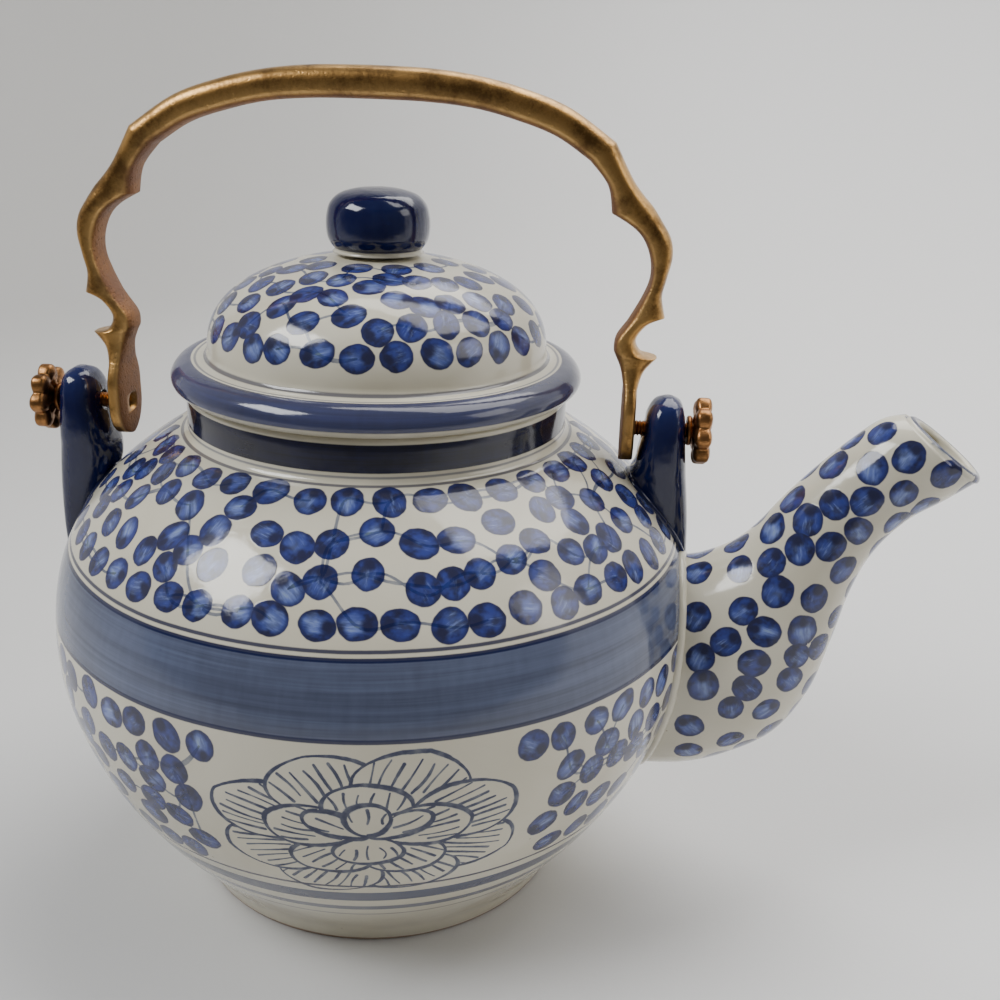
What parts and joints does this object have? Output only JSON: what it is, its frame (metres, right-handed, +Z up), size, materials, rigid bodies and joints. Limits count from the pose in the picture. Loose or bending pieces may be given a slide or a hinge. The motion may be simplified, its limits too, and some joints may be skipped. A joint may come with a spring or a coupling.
{
  "type": "teapot",
  "caption": "Round glazed stoneware teapot with domed lid, curved spout and a swinging cast brass bail handle on two lugs",
  "frame": {"origin": "on the table under the middle of the footprint box; the pot's own axis of rotation is 28.08 mm back from it at x = -0.02808", "axes": "+Z up, +X towards the spout, the bail swings about an axis parallel to X"},
  "size_m": [0.2274, 0.1588, 0.1998],
  "materials": {
    "painted_glaze": "gloss",
    "navy_glaze": "gloss",
    "aged_brass": "satin"
  },
  "bodies": {
    "pot": {"pot_body": "painted_glaze", "spout": "painted_glaze", "lug_front": "navy_glaze", "lug_rear": "navy_glaze"},
    "lid": {"lid": "painted_glaze", "lid_knob": "navy_glaze"},
    "bail": {"bail_handle": "aged_brass"},
    "washer_front": {"screw_washer_front": "aged_brass"},
    "screw_front": {"screw_stud_front": "aged_brass", "rosette_front": "aged_brass"},
    "washer_rear": {"screw_washer_rear": "aged_brass"},
    "screw_rear": {"screw_stud_rear": "aged_brass", "rosette_rear": "aged_brass"}
  },
  "joints": [
    {"name": "lid_lift", "type": "slide", "parent": "pot", "child": "lid", "axis": [0, 0, 1], "range_m": [0, 0.017]},
    {"name": "bail_swing", "type": "hinge", "parent": "pot", "child": "bail", "pos_m": [-0.02968, 0, 0.1192], "axis": [1, 0, 0], "range_deg": [-100, 100]},
    {"name": "screw_front_travel", "type": "slide", "parent": "bail", "child": "washer_front", "axis": [1, 0, 0], "range_m": [0, 0.0041]},
    {"name": "screw_front_turn", "type": "hinge", "parent": "washer_front", "child": "screw_front", "pos_m": [0.04732, 0, 0.1192], "axis": [1, 0, 0], "range_deg": [0, 1800]},
    {"name": "screw_rear_travel", "type": "slide", "parent": "bail", "child": "washer_rear", "axis": [-1, 0, 0], "range_m": [0, 0.0041]},
    {"name": "screw_rear_turn", "type": "hinge", "parent": "washer_rear", "child": "screw_rear", "pos_m": [-0.10828, 0, 0.1192], "axis": [-1, 0, 0], "range_deg": [0, 1800]}
  ],
  "couplings": [
    {"joint": "screw_front_travel", "follows": "screw_front_turn", "m_per_rad": 0.00012732},
    {"joint": "screw_rear_travel", "follows": "screw_rear_turn", "m_per_rad": 0.00012732}
  ]
}
